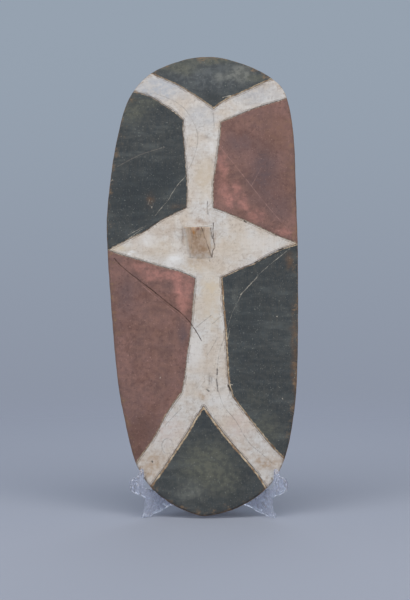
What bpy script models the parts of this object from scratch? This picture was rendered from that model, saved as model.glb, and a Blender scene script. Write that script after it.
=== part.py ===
"""Painted wooden dance shield, leaning in its clear plastic plate easel.

The shield is one carved piece: a thin oval board, a little domed, with a wedge-shaped boss on
its painted face, knife-cut borders between its painted fields, and a loop grip on its back.
The easel is two clear mouldings of one profile, slotted into each other in an X.

The shield is modelled lying on its back: X across, Y up the board, Z out of the painted face,
with Z = 0 at the rim's front edge. The easel stands on Z = 0 with its foremost point at Y = 0,
and its parent moves it, with the shield, so that the finished object has X to the right, Y away
from the viewer, Z up and its origin on the ground under the middle of its box. All lengths are
in metres.
"""
import math

import bmesh
import bpy
from mathutils import Vector
from mathutils.geometry import interpolate_bezier

# Board
SHIELD_HEIGHT = 0.572
SHIELD_WIDTH = 0.236
BOARD_THICKNESS = 0.010
RIM_ROUND = 0.0032
DOME_RISE = 0.005
GRID_STEP = 0.024

# Boss on the painted face: its corners on the board, its ridge and how far it stands out
BOSS_TOP = 0.3530
BOSS_BOTTOM = 0.3145
BOSS_TOP_LEFT = -0.0233
BOSS_TOP_RIGHT = 0.0122
BOSS_BOTTOM_LEFT = -0.0157
BOSS_BOTTOM_RIGHT = 0.0123
BOSS_RIDGE_TOP = 0.3503
BOSS_RIDGE_BOTTOM = 0.3475
BOSS_RIDGE_LEFT = -0.0125
BOSS_RIDGE_RIGHT = -0.0014
BOSS_RISE = 0.0140
BOSS_EDGE_WEAR = 0.0010

# Grip on the back, carved in one with the board
GRIP_LENGTH = 0.118
GRIP_WIDTH = 0.022
GRIP_BAR = 0.011
GRIP_ROOT_WIDTH = 0.033
FINGER_DEPTH = 0.027
CARVED_OVERLAP = 0.004

# Knife-cut borders between the painted fields
GROOVE_WIDTH = 0.0022
GROOVE_STEPS = 4

# Pose of the shield in its easel
LEAN = math.radians(12.0)
BOTTOM_CLEARANCE = 0.003
SHIELD_SHIFT = -0.008
FIT_GAP = 0.0003

# Easel: two upright plates that cross, measured along the plate from its front, and upwards
EASEL_HALF_SPAN = 0.0941
PLATE_ANGLE = math.radians(45.0)
PLATE_THICKNESS = 0.0045
PLATE_EDGE_ROUND = 0.0015
PLATE_LENGTH = 0.2175
LIP_WALL = 0.0209
LIP_TOP = 0.0595
LIP_THICKNESS = 0.0080
CURL_TOP = 0.0495
CURL_HEIGHT = 0.0405
SEAT_FLOOR = 0.0340
SEAT_ROUND = 0.0030
NECK = 0.0250
FRONT_FOOT_START = 0.0195
FRONT_FOOT_END = 0.0330
REAR_FOOT_START = 0.2040
REAR_FOOT_END = 0.2140
ARCH_HEIGHT = 0.0115
ARCH_FRONT_RUN = 0.052
ARCH_REAR_RUN = 0.040
ARM_TOP = 0.0245
POST_TOP = 0.1720
POST_TIP_DEPTH = 0.0100
POST_WAIST_DEPTH = 0.0200
POST_ROOT = 0.1200

# Outline of the board: shares of half the width and of the height, bottom tip first, clockwise
# as the viewer sees it. The rim was cut by eye, so its two sides differ.
OUTLINE_SHARES = (
    (0.047, 0.000), (-0.139, 0.008), (-0.350, 0.030), (-0.534, 0.062), (-0.683, 0.112),
    (-0.788, 0.193), (-0.875, 0.289), (-0.949, 0.450), (-1.000, 0.610), (-0.984, 0.690),
    (-0.905, 0.809), (-0.783, 0.903), (-0.562, 0.960), (-0.200, 0.993), (0.050, 1.000),
    (0.245, 0.996), (0.579, 0.971), (0.814, 0.938), (0.898, 0.906), (0.964, 0.824),
    (0.987, 0.680), (1.000, 0.526), (0.980, 0.288), (0.936, 0.203), (0.854, 0.125),
    (0.699, 0.066), (0.403, 0.021),
)
OUTLINE_STEPS = 4

# Knife-cut borders, in the same shares. Those that reach the rim run out over it.
BORDER_SHARES = {
    "top_left": ((-0.601, 0.967), (-0.423, 0.950), (-0.256, 0.934), (-0.118, 0.916),
                 (0.010, 0.898), (0.121, 0.881)),
    "top_right": ((0.121, 0.881), (0.188, 0.892), (0.299, 0.907), (0.392, 0.915), (0.611, 0.937),
                  (0.770, 0.952)),
    "upper_left_top": ((-0.780, 0.923), (-0.561, 0.910), (-0.422, 0.892), (-0.284, 0.872),
                       (-0.199, 0.855)),
    "upper_left_side": ((-0.199, 0.855), (-0.201, 0.830), (-0.190, 0.799), (-0.168, 0.738),
                        (-0.159, 0.699), (-0.164, 0.660)),
    "diamond_upper_left": ((-0.164, 0.660), (-0.311, 0.645), (-0.402, 0.636), (-0.487, 0.625),
                           (-0.566, 0.613), (-0.646, 0.604), (-0.807, 0.588), (-0.981, 0.569)),
    "upper_right_top": ((0.954, 0.910), (0.821, 0.900), (0.578, 0.884), (0.369, 0.866),
                        (0.197, 0.850)),
    "upper_right_side": ((0.197, 0.850), (0.184, 0.816), (0.150, 0.760), (0.117, 0.716),
                         (0.115, 0.660)),
    "diamond_upper_right": ((0.115, 0.660), (0.329, 0.643), (0.543, 0.624), (0.800, 0.599),
                            (1.004, 0.583)),
    "diamond_lower_left": ((-1.010, 0.570), (-0.819, 0.556), (-0.596, 0.542), (-0.389, 0.529),
                           (-0.231, 0.520), (-0.073, 0.505)),
    "lower_left_side": ((-0.073, 0.505), (-0.093, 0.458), (-0.119, 0.396), (-0.162, 0.329),
                        (-0.180, 0.295), (-0.211, 0.260)),
    "left_leg": ((-0.211, 0.260), (-0.351, 0.220), (-0.506, 0.160), (-0.612, 0.130),
                 (-0.721, 0.098)),
    "diamond_lower_right": ((1.019, 0.583), (0.811, 0.569), (0.669, 0.554), (0.523, 0.537),
                            (0.412, 0.528), (0.197, 0.507)),
    "lower_right_side": ((0.197, 0.507), (0.215, 0.448), (0.238, 0.397), (0.250, 0.351),
                         (0.273, 0.281), (0.314, 0.251)),
    "right_leg": ((0.314, 0.251), (0.414, 0.223), (0.555, 0.186), (0.740, 0.140), (0.899, 0.109)),
    "bottom_left": ((0.014, 0.231), (-0.074, 0.203), (-0.157, 0.173), (-0.240, 0.148),
                    (-0.394, 0.100), (-0.572, 0.050)),
    "bottom_right": ((0.014, 0.231), (0.217, 0.174), (0.469, 0.113), (0.568, 0.088),
                     (0.730, 0.036)),
}


def board_place(share):
    """A point given in shares of half the width and of the height, in metres on the board."""
    return share[0] * SHIELD_WIDTH / 2, share[1] * SHIELD_HEIGHT


def smooth_line(points, steps, closed=False):
    """Points in a plane on a smooth curve through the given ones, steps of them to a span."""
    points = [Vector((point[0], point[1], 0.0)) for point in points]
    count = len(points)
    spans = count if closed else count - 1
    line = []
    for index in range(spans):
        start = points[index]
        end = points[(index + 1) % count]
        before = points[index - 1] if closed or index else start
        after = points[(index + 2) % count] if closed or index < spans - 1 else end
        reach = (end - start).length / 3
        leave = start + (end - before).normalized() * reach
        arrive = end - (after - start).normalized() * reach
        line += interpolate_bezier(start, leave, arrive, end, steps + 1)[:-1]
    if not closed:
        line.append(points[-1])
    return [(point.x, point.y) for point in line]


def dome(x, y):
    """How far the board's two faces bulge forward of the rim's plane."""
    across = (x / (SHIELD_WIDTH / 2)) ** 2
    along = ((y - SHIELD_HEIGHT / 2) / (SHIELD_HEIGHT / 2)) ** 4
    return DOME_RISE * (1 - min(1.0, across + along)) ** 2


RIM = smooth_line([board_place(share) for share in OUTLINE_SHARES], OUTLINE_STEPS, closed=True)


def lower_rim(x):
    """Height of the board's lower rim at a place across it, up the board."""
    heights = []
    for start, end in zip(RIM, RIM[1:] + RIM[:1]):
        if min(start[0], end[0]) <= x < max(start[0], end[0]):
            share = (x - start[0]) / (end[0] - start[0])
            heights.append(start[1] + (end[1] - start[1]) * share)
    return min(heights, default=SHIELD_HEIGHT / 2)


def plate_place(along, off, side):
    """X and Y of a point of the left (-1) or right (1) plate, along it and off its middle."""
    x = EASEL_HALF_SPAN - along * math.cos(PLATE_ANGLE) + off * math.sin(PLATE_ANGLE)
    y = along * math.sin(PLATE_ANGLE) + off * math.cos(PLATE_ANGLE)
    return side * x, y


PLATE_FACES = [(side, half * PLATE_THICKNESS / 2) for side in (-1, 1) for half in (-1, 1)]


def shield_front_y():
    """Y of the rim's front edge at the bottom tip, with the painted face just off the lips."""
    places = []
    for side, off in PLATE_FACES:
        x, y = plate_place(LIP_WALL, off, side)
        height = lower_rim(x - SHIELD_SHIFT)
        bulge = dome(x - SHIELD_SHIFT, height)
        places.append(y + FIT_GAP + bulge / math.cos(LEAN) - height * math.sin(LEAN))
    return max(places)


SHIELD_Y = shield_front_y()


def shield_back_y(x, z):
    """Y of the board's back face at a place across the stand and a height."""
    up_board = (z - BOTTOM_CLEARANCE) / math.cos(LEAN)
    depth = BOARD_THICKNESS - dome(x - SHIELD_SHIFT, up_board)
    return SHIELD_Y + (z - BOTTOM_CLEARANCE) * math.tan(LEAN) + depth / math.cos(LEAN)


def clear_of_back(z):
    """The place along a plate that just clears the back of the board at a height."""
    along = LIP_WALL
    for _ in range(6):
        moves = []
        for side, off in PLATE_FACES:
            x, y = plate_place(along, off, side)
            moves.append((shield_back_y(x, z) + FIT_GAP - y) / math.sin(PLATE_ANGLE))
        along += max(moves)
    return along


def seat_height(along):
    """Height of the seat: its floor, or lower where the board's rim dips towards its middle."""
    floor = SEAT_FLOOR
    for side, off in PLATE_FACES:
        x, _ = plate_place(along, off, side)
        rim = lower_rim(x - SHIELD_SHIFT) * math.cos(LEAN) - BOARD_THICKNESS * math.sin(LEAN)
        floor = min(floor, BOTTOM_CLEARANCE + rim - FIT_GAP)
    return floor


def post_front():
    """The straight front edge of the post: its place at the top, and how it leans."""
    top = clear_of_back(POST_TOP)
    heights = [SEAT_FLOOR + (POST_TOP - SEAT_FLOOR) * step / 12 for step in range(12)]
    slope = min((top - clear_of_back(z)) / (POST_TOP - z) for z in heights)
    return top, slope


def new_material(name, color, roughness, alpha=1.0, transmission=0.0):
    material = bpy.data.materials.new(name)
    material.use_nodes = True
    shader = material.node_tree.nodes["Principled BSDF"]
    shader.inputs["Base Color"].default_value = (*color, 1.0)
    shader.inputs["Roughness"].default_value = roughness
    shader.inputs["Metallic"].default_value = 0.0
    shader.inputs["Alpha"].default_value = alpha
    shader.inputs["Transmission Weight"].default_value = transmission
    return material


def object_from_bmesh(name, bm, collection):
    mesh = bpy.data.meshes.new(name)
    bm.to_mesh(mesh)
    bm.free()
    made = bpy.data.objects.new(name, mesh)
    collection.objects.link(made)
    return made


def object_from_curve(name, curve, collection):
    """Turns curve data into an object with a welded mesh, and removes the curve."""
    held = bpy.data.objects.new(name + "_curve", curve)
    bpy.context.scene.collection.objects.link(held)
    graph = bpy.context.evaluated_depsgraph_get()
    mesh = bpy.data.meshes.new_from_object(held.evaluated_get(graph))
    bm = bmesh.new()
    bm.from_mesh(mesh)
    bmesh.ops.remove_doubles(bm, verts=bm.verts, dist=0.00001)
    bmesh.ops.recalc_face_normals(bm, faces=bm.faces)
    made = object_from_bmesh(name, bm, collection)
    made.matrix_world = held.matrix_world.copy()
    bpy.data.objects.remove(held)
    bpy.data.meshes.remove(mesh)
    bpy.data.curves.remove(curve)
    return made


def rounded_plate(name, outline, thickness, edge_round, collection):
    """A flat outline given a thickness about its own plane, with the edges of its faces round."""
    curve = bpy.data.curves.new(name, "CURVE")
    curve.dimensions = "2D"
    curve.fill_mode = "BOTH"
    curve.extrude = thickness / 2
    add_line(curve, [(x, y, 0.0) for x, y in outline], closed=True)
    plate = object_from_curve(name, curve, collection)
    bm = bmesh.new()
    bm.from_mesh(plate.data)
    flat = {face for face in bm.faces if abs(face.normal.z) > 0.99}
    inner = [edge for edge in bm.edges if all(face in flat for face in edge.link_faces)]
    bmesh.ops.dissolve_edges(bm, edges=inner, use_verts=False)
    flat = {face for face in bm.faces if abs(face.normal.z) > 0.99}
    border = [edge for edge in bm.edges if any(face in flat for face in edge.link_faces)]
    bmesh.ops.bevel(bm, geom=border, offset=edge_round, segments=3, profile=0.5,
                    affect="EDGES", clamp_overlap=True, material=-1)
    bm.to_mesh(plate.data)
    bm.free()
    return plate


def add_line(curve, places, radii=None, closed=False):
    spline = curve.splines.new("POLY")
    spline.points.add(len(places) - 1)
    for index, place in enumerate(places):
        spline.points[index].co = (*place, 1.0)
        spline.points[index].radius = radii[index] if radii else 1.0
    spline.use_cyclic_u = closed


def rod_curve(name, places, radius, resolution, radii=None):
    """A rod along a line, its section set square to Z so that it doesn't twist."""
    curve = bpy.data.curves.new(name, "CURVE")
    curve.dimensions = "3D"
    curve.fill_mode = "FULL"
    curve.twist_mode = "Z_UP"
    curve.bevel_depth = radius
    curve.bevel_resolution = resolution
    curve.use_fill_caps = True
    add_line(curve, places, radii)
    return curve


def add_boolean(made, operation, other):
    """Joins or cuts with one object, or with every object of a collection."""
    modifier = made.modifiers.new(operation.lower(), "BOOLEAN")
    modifier.operation = operation
    modifier.solver = "EXACT"
    if isinstance(other, bpy.types.Collection):
        modifier.operand_type = "COLLECTION"
        modifier.collection = other
    else:
        modifier.object = other


def shade(made, angle):
    made.data.shade_smooth()
    made.data.set_sharp_from_angle(angle=math.radians(angle))


def make_board(collection):
    """The oval board, its rim rounded and both its faces domed on a grid of cuts."""
    board = rounded_plate("shield", RIM, BOARD_THICKNESS, RIM_ROUND, collection)
    bm = bmesh.new()
    bm.from_mesh(board.data)
    bmesh.ops.translate(bm, verts=bm.verts, vec=(0, 0, -BOARD_THICKNESS / 2))
    columns = math.ceil(SHIELD_WIDTH / GRID_STEP)
    rows = math.ceil(SHIELD_HEIGHT / GRID_STEP)
    cuts = [((SHIELD_WIDTH * (index / columns - 0.5), 0, 0), (1, 0, 0)) for index in range(1, columns)]
    cuts += [((0, SHIELD_HEIGHT * index / rows, 0), (0, 1, 0)) for index in range(1, rows)]
    for place, normal in cuts:
        geometry = bm.verts[:] + bm.edges[:] + bm.faces[:]
        bmesh.ops.bisect_plane(bm, geom=geometry, plane_co=place, plane_no=normal, dist=0.000001)
    for vert in bm.verts:
        vert.co.z += dome(vert.co.x, vert.co.y)
    bmesh.ops.triangulate(bm, faces=bm.faces)
    bm.to_mesh(board.data)
    bm.free()
    return board


def make_boss(collection):
    """The nose-like boss: steep above its short ridge, with three faces that slope to its foot."""
    face = dome((BOSS_TOP_LEFT + BOSS_TOP_RIGHT) / 2, (BOSS_TOP + BOSS_BOTTOM) / 2)
    edges = {
        (-1, -1): ((BOSS_RIDGE_LEFT, BOSS_RIDGE_BOTTOM), (BOSS_BOTTOM_LEFT, BOSS_BOTTOM)),
        (1, -1): ((BOSS_RIDGE_RIGHT, BOSS_RIDGE_BOTTOM), (BOSS_BOTTOM_RIGHT, BOSS_BOTTOM)),
        (-1, 1): ((BOSS_RIDGE_LEFT, BOSS_RIDGE_TOP), (BOSS_TOP_LEFT, BOSS_TOP)),
        (1, 1): ((BOSS_RIDGE_RIGHT, BOSS_RIDGE_TOP), (BOSS_TOP_RIGHT, BOSS_TOP)),
    }
    corners = {}
    for side, (ridge, foot) in edges.items():
        ridge = Vector((*ridge, face + BOSS_RISE))
        foot = Vector((*foot, face))
        corners[(*side, 1)] = ridge
        corners[(*side, -1)] = foot + (foot - ridge) * CARVED_OVERLAP / BOSS_RISE
    bm = bmesh.new()
    bmesh.ops.create_cube(bm, size=2.0)
    for vert in bm.verts:
        vert.co = corners[tuple(round(value) for value in vert.co)]
    bmesh.ops.bevel(bm, geom=bm.edges[:], offset=BOSS_EDGE_WEAR, segments=1, profile=0.5,
                    affect="EDGES", clamp_overlap=True, material=-1)
    bmesh.ops.triangulate(bm, faces=bm.faces)
    return object_from_bmesh("boss_form", bm, collection)


def make_grip(collection):
    """The loop grip: an oval rod that leaves the back, runs up behind the boss and returns."""
    middle = (BOSS_TOP + BOSS_BOTTOM) / 2
    back = dome(0, middle) - BOARD_THICKNESS
    bar = back - FINGER_DEPTH - GRIP_BAR / 2
    half = GRIP_LENGTH / 2
    rise = back - bar
    flare = GRIP_ROOT_WIDTH / GRIP_WIDTH
    side = ((1.00, -CARVED_OVERLAP / rise, flare), (0.98, 0.15, flare * 0.94),
            (0.90, 0.55, flare * 0.80), (0.70, 0.92, 1.08), (0.35, 1.00, 1.00))
    share_line = list(side) + [(0.0, 1.0, 1.0)] + [(-a, b, c) for a, b, c in reversed(side)]
    steps = 2
    line = smooth_line([(along * half, back - deep * rise) for along, deep, _ in share_line], steps)
    widths = smooth_line([(index, width) for index, (_, _, width) in enumerate(share_line)], steps)
    places = [(0.0, middle + along, depth) for along, depth in line]
    curve = rod_curve("grip_form", places, GRIP_BAR / 2, 2, [width for _, width in widths])
    grip = object_from_curve("grip_form", curve, collection)
    bm = bmesh.new()
    bm.from_mesh(grip.data)
    bmesh.ops.scale(bm, verts=bm.verts, vec=(GRIP_WIDTH / GRIP_BAR, 1, 1))
    bmesh.ops.triangulate(bm, faces=bm.faces)
    bm.to_mesh(grip.data)
    bm.free()
    return grip


def make_groove(name, border, collection):
    """Cutter for one border: a square rod on edge, half sunk in the domed face."""
    line = smooth_line([board_place(share) for share in border], GROOVE_STEPS)
    places = [(x, y, dome(x, y)) for x, y in line]
    curve = rod_curve(name, places, GROOVE_WIDTH / 2, 0)
    return object_from_curve("groove_" + name, curve, collection)


def make_shield(parts, forms, grooves, wood):
    shield = make_board(parts)
    shield.data.materials.append(wood)
    add_boolean(shield, "UNION", make_boss(forms))
    add_boolean(shield, "UNION", make_grip(forms))
    for name, border in BORDER_SHARES.items():
        make_groove(name, border, grooves)
    add_boolean(shield, "DIFFERENCE", grooves)
    shade(shield, 35)
    return shield


def bracket_outline():
    """Outline of one plate of the easel: lip and curl, front foot, arch, arm, post and seat."""
    top, slope = post_front()
    bulge = LIP_WALL - LIP_THICKNESS
    front = smooth_line([
        (LIP_WALL, SEAT_FLOOR + SEAT_ROUND),
        (LIP_WALL, LIP_TOP - LIP_THICKNESS * 0.35),
        (LIP_WALL - LIP_THICKNESS * 0.22, LIP_TOP),
        (LIP_WALL - LIP_THICKNESS * 0.60, LIP_TOP - LIP_THICKNESS * 0.60),
        (bulge, CURL_TOP + LIP_THICKNESS * 0.12),
        (bulge * 0.50, CURL_TOP),
        (bulge * 0.12, CURL_TOP - LIP_THICKNESS * 0.35),
        (0.0, CURL_HEIGHT),
        (bulge * 0.20, SEAT_FLOOR),
        (bulge * 0.80, SEAT_FLOOR - SEAT_ROUND * 1.6),
        (NECK * 0.90, SEAT_FLOOR - SEAT_ROUND * 3.2),
        (NECK, SEAT_FLOOR * 0.50),
        (NECK - SEAT_ROUND * 0.2, SEAT_FLOOR * 0.30),
        (FRONT_FOOT_START + SEAT_ROUND * 0.3, SEAT_FLOOR * 0.10),
        (FRONT_FOOT_START, 0.0)], 3)
    arch = smooth_line([
        (FRONT_FOOT_END, 0.0),
        (FRONT_FOOT_END + ARCH_FRONT_RUN * 0.08, ARCH_HEIGHT * 0.20),
        (FRONT_FOOT_END + ARCH_FRONT_RUN * 0.31, ARCH_HEIGHT * 0.35),
        (FRONT_FOOT_END + ARCH_FRONT_RUN * 0.53, ARCH_HEIGHT * 0.70),
        (FRONT_FOOT_END + ARCH_FRONT_RUN, ARCH_HEIGHT),
        (REAR_FOOT_START - ARCH_REAR_RUN, ARCH_HEIGHT),
        (REAR_FOOT_START - ARCH_REAR_RUN * 0.2, ARCH_HEIGHT * 0.40),
        (REAR_FOOT_START, 0.0)], 3)
    rear = smooth_line([
        (REAR_FOOT_END, 0.0),
        (PLATE_LENGTH, ARM_TOP * 0.20),
        (PLATE_LENGTH - ARM_TOP * 0.1, ARM_TOP * 0.60),
        (REAR_FOOT_START - ARM_TOP * 0.2, ARM_TOP * 0.86),
        ((REAR_FOOT_START + POST_ROOT) / 2, ARM_TOP),
        (POST_ROOT, ARM_TOP * 1.10),
        (POST_ROOT - ARM_TOP * 0.8, ARM_TOP * 1.55),
        (clear_of_back(POST_TOP * 0.35) + POST_WAIST_DEPTH * 1.5, POST_TOP * 0.35),
        (clear_of_back(POST_TOP * 0.55) + POST_WAIST_DEPTH, POST_TOP * 0.55),
        (clear_of_back(POST_TOP * 0.80) + POST_TIP_DEPTH * 1.4, POST_TOP * 0.80),
        (top + POST_TIP_DEPTH, POST_TOP - POST_TIP_DEPTH * 0.6),
        (top + POST_TIP_DEPTH * 0.6, POST_TOP),
        (top + POST_TIP_DEPTH * 0.15, POST_TOP - POST_TIP_DEPTH * 0.15),
        (top - slope * POST_TIP_DEPTH, POST_TOP - POST_TIP_DEPTH)], 3)
    first = LIP_WALL + SEAT_ROUND
    last = clear_of_back(SEAT_FLOOR)
    steps = 4
    places = [last + (first - last) * step / steps for step in range(steps + 1)]
    seat = [(along, seat_height(along)) for along in places]
    foot = seat[0][1] + SEAT_ROUND
    return front + arch + rear + [(top - slope * (POST_TOP - foot), foot)] + seat


def make_bracket(name, side, parts, forms, clear):
    """One plate of the easel, half cut away for the other: the left above, the right below."""
    bracket = rounded_plate(name, bracket_outline(), PLATE_THICKNESS, PLATE_EDGE_ROUND, parts)
    bracket.data.materials.append(clear)
    crossing = EASEL_HALF_SPAN / math.cos(PLATE_ANGLE)
    meeting = 2 * PLATE_ANGLE
    footprint = PLATE_THICKNESS * (1 + abs(math.cos(meeting))) / math.sin(meeting)
    reach = ARM_TOP
    middle = (ARCH_HEIGHT + ARM_TOP) / 2 - side * (reach - FIT_GAP) / 2
    bm = bmesh.new()
    bmesh.ops.create_cube(bm, size=1.0)
    bmesh.ops.scale(bm, verts=bm.verts, vec=(footprint + 2 * FIT_GAP, reach, PLATE_THICKNESS * 3))
    bmesh.ops.translate(bm, verts=bm.verts, vec=(crossing, middle, 0))
    slot = object_from_bmesh(name + "_slot", bm, forms)
    add_boolean(bracket, "DIFFERENCE", slot)
    shade(bracket, 35)
    turn = PLATE_ANGLE if side < 0 else math.pi - PLATE_ANGLE
    for piece in (bracket, slot):
        piece.location = (side * EASEL_HALF_SPAN, 0, 0)
        piece.rotation_euler = (math.pi / 2, 0, turn)
    return bracket


def box_of(parts):
    """Lowest and highest corner of the parts as they stand."""
    bpy.context.view_layer.update()
    graph = bpy.context.evaluated_depsgraph_get()
    places = []
    for part in parts:
        evaluated = part.evaluated_get(graph)
        mesh = evaluated.to_mesh()
        places += [evaluated.matrix_world @ vert.co for vert in mesh.vertices]
        evaluated.to_mesh_clear()
    low = Vector([min(place[axis] for place in places) for axis in range(3)])
    high = Vector([max(place[axis] for place in places) for axis in range(3)])
    return low, high


def main():
    for old in list(bpy.data.objects):
        bpy.data.objects.remove(old)
    collections = {}
    for name in ("dance_shield", "carving_forms", "groove_forms"):
        collections[name] = bpy.data.collections.new(name)
        bpy.context.scene.collection.children.link(collections[name])
    parts, forms, grooves = collections.values()

    wood = new_material("painted wood", (0.32, 0.29, 0.28), 0.85)
    clear = new_material("clear polystyrene", (0.95, 0.97, 1.0), 0.08, 0.35, 1.0)
    shield = make_shield(parts, forms, grooves, wood)
    brackets = [make_bracket("easel_bracket_left", -1, parts, forms, clear),
                make_bracket("easel_bracket_right", 1, parts, forms, clear)]

    for carved in [shield, *forms.objects, *grooves.objects]:
        if not carved.name.startswith("easel_bracket"):
            carved.location = (SHIELD_SHIFT, SHIELD_Y, BOTTOM_CLEARANCE)
            carved.rotation_euler = (math.pi / 2 - LEAN, 0, 0)

    low, high = box_of([shield, *brackets])
    ground = bpy.data.objects.new("ground_middle", None)
    ground.location = (-(low.x + high.x) / 2, -(low.y + high.y) / 2, -low.z)
    parts.objects.link(ground)
    for piece in [shield, *brackets, *forms.objects, *grooves.objects]:
        piece.parent = ground
    for form in [*forms.objects, *grooves.objects]:
        form.hide_render = True
        form.display_type = "WIRE"


main()
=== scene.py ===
"""Looks of a painted wooden dance shield that leans in its clear plastic plate easel.

The shield is made again as one fine mesh around the carved solid of the frame: the same oval
board, boss and loop grip, with knife-cut borders, scribed arcs, drying cracks, a worn rim and an
adzed back. Its paint is worked out from where each place lies among the drawn borders.
The easel's two plates keep their solids' shape, welded and shaded as smooth mouldings.

The board is drawn lying on its back: X across, Y up the board, Z out of the painted face, with
Z = 0 at the rim's front edge. It is then leaned back and set on the corner of its solid's box.
"""
import math

import bmesh
import bpy
import numpy as np
from mathutils import Matrix, Vector, noise
from mathutils.geometry import interpolate_bezier


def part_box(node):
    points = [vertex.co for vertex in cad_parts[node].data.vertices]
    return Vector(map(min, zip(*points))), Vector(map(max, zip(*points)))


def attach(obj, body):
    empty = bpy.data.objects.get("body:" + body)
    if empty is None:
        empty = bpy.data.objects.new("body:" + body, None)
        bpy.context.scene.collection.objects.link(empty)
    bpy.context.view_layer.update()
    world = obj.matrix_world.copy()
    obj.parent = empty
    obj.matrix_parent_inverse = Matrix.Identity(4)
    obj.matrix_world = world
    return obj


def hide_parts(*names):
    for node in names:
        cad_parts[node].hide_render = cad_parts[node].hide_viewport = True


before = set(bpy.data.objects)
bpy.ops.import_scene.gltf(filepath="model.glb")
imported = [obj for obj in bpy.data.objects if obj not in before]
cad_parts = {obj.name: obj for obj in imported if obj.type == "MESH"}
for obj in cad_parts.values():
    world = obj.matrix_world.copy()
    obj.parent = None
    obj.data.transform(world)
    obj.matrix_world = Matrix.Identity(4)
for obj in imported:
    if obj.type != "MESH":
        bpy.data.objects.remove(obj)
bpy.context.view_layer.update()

MM = 0.001

# A size in mm that leaves noise as good as even through the board's thickness
THROUGH = 1000

# Board, as in the solid
SHIELD_HEIGHT = 0.572
SHIELD_WIDTH = 0.236
BOARD_THICKNESS = 0.010
RIM_ROUND = 0.0032
DOME_RISE = 0.005
LEAN = math.radians(12.0)

# Boss on the painted face
BOSS_TOP = 0.3530
BOSS_BOTTOM = 0.3145
BOSS_TOP_LEFT = -0.0233
BOSS_TOP_RIGHT = 0.0122
BOSS_BOTTOM_LEFT = -0.0157
BOSS_BOTTOM_RIGHT = 0.0123
BOSS_RIDGE_TOP = 0.3503
BOSS_RIDGE_BOTTOM = 0.3475
BOSS_RIDGE_LEFT = -0.0125
BOSS_RIDGE_RIGHT = -0.0014
BOSS_RISE = 0.0140

# Grip on the back
GRIP_LENGTH = 0.118
GRIP_WIDTH = 0.022
GRIP_BAR = 0.011
GRIP_FLARE = 1.5
FINGER_DEPTH = 0.027
CARVED_OVERLAP = 0.004

# Meshes: squares of the board's first grid, steps to a span of the smooth lines, how near points
# are welded, how far a face turns to the front to count as painted, the longest edge of those,
# then reach from a line, margin around the boss and longest edge there
GRID_STEP = 0.0050
OUTLINE_STEPS = 10
LINE_STEPS = 5
GRIP_STEPS = 5
WELD = 0.00001
LOOKS_FORWARD = 0.15
FACE_STEP = GRID_STEP * 0.6
FINER_STEPS = ((0.0040, 0.0030, GRID_STEP * 0.3), (0.0016, 0.0010, GRID_STEP * 0.15))

# Knife work: half widths and depths, and the burr that the knife raised beside each border
BORDER_HALF = 0.00115
BORDER_DEPTH = 0.00090
BURR_RISE = 0.00012
BURR_OUT = 0.00150
BURR_HALF = 0.00050
SCRIBE_HALF = 0.00055
SCRIBE_DEPTH = 0.00035
CRACK_HALF = 0.00060
CRACK_DEPTH = 0.00120
SCRIBE_SHARES = {"grey_gap": 0.6, "pale_gap": 1.0, "faint_gap": 0.5, "chip_gap": 0.6}
ADZE_DEPTH = 0.00160

# Unevenness of handwork and wear
LINE_WANDER = 0.00035
BOSS_WANDER = 0.00025
STAIN_DRIFT = 0.0050
WAVE_RISE = 0.00030
GRAIN_RISE = 0.00010
BOSS_MARK_RISE = 0.00025
BOSS_EDGE_WEAR = 0.00045
BOSS_FOOT_WEAR = 0.00025
RIM_DENT = 0.00030
RIM_LOSS = 0.00015
RIM_WORN = 0.0035
GRIP_CLEARING = 0.0080
GRIP_BLEND = 0.0020

# Outline of the board: shares of half the width and of the height, bottom tip first, clockwise
OUTLINE = (
    (0.047, 0.000), (-0.139, 0.008), (-0.350, 0.030), (-0.534, 0.062), (-0.683, 0.112),
    (-0.788, 0.193), (-0.875, 0.289), (-0.949, 0.450), (-1.000, 0.610), (-0.984, 0.690),
    (-0.905, 0.809), (-0.783, 0.903), (-0.562, 0.960), (-0.200, 0.993), (0.050, 1.000),
    (0.245, 0.996), (0.579, 0.971), (0.814, 0.938), (0.898, 0.906), (0.964, 0.824),
    (0.987, 0.680), (1.000, 0.526), (0.980, 0.288), (0.936, 0.203), (0.854, 0.125),
    (0.699, 0.066), (0.403, 0.021),
)

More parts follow.
